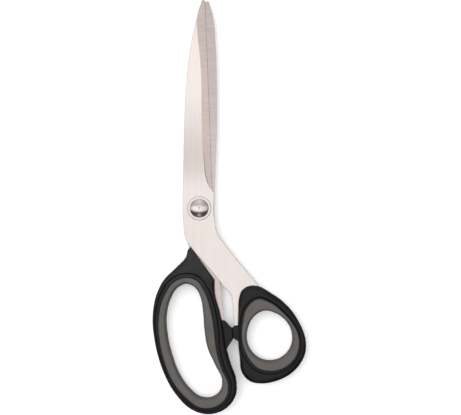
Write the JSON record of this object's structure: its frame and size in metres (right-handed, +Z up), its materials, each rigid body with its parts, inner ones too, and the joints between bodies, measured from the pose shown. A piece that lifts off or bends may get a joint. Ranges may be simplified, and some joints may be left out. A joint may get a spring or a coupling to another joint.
{
  "type": "fabric shears",
  "caption": "Large dressmaker's shears with long steel blades, a domed pivot bolt, and black moulded bows lined with soft grey grips.",
  "frame": {"origin": "middle of the closed shears' footprint, on the surface that they lie on", "axes": "+Y towards the blade tips, +X towards the thumb bow, +Z up, along the pivot"},
  "size_m": [0.0996, 0.2696, 0.013],
  "materials": {
    "blade_steel": "satin ground stainless steel, with finer cross grinding on the bevels",
    "pivot_steel": "polished steel",
    "black_moulding": "black moulded nylon with a fine satin texture",
    "grey_grip": "soft matt grey moulded rubber",
    "slip_washer": "thin white nylon"
  },
  "bodies": {
    "finger_half": {"finger_blade": "blade_steel", "finger_bow": "black_moulding", "finger_grip": "grey_grip", "pivot_bolt": "pivot_steel", "head_washer": "pivot_steel", "slip_washer": "slip_washer", "spring_washer": "pivot_steel", "pivot_nut": "pivot_steel"},
    "thumb_half": {"thumb_blade": "blade_steel", "thumb_bow": "black_moulding", "thumb_grip": "grey_grip"}
  },
  "joints": [
    {"name": "pivot", "type": "hinge", "parent": "finger_half", "child": "thumb_half", "pos_m": [-0.01958, -0.00135, 0.0065], "axis": [0, 0, 1], "range_deg": [0, 130]}
  ]
}
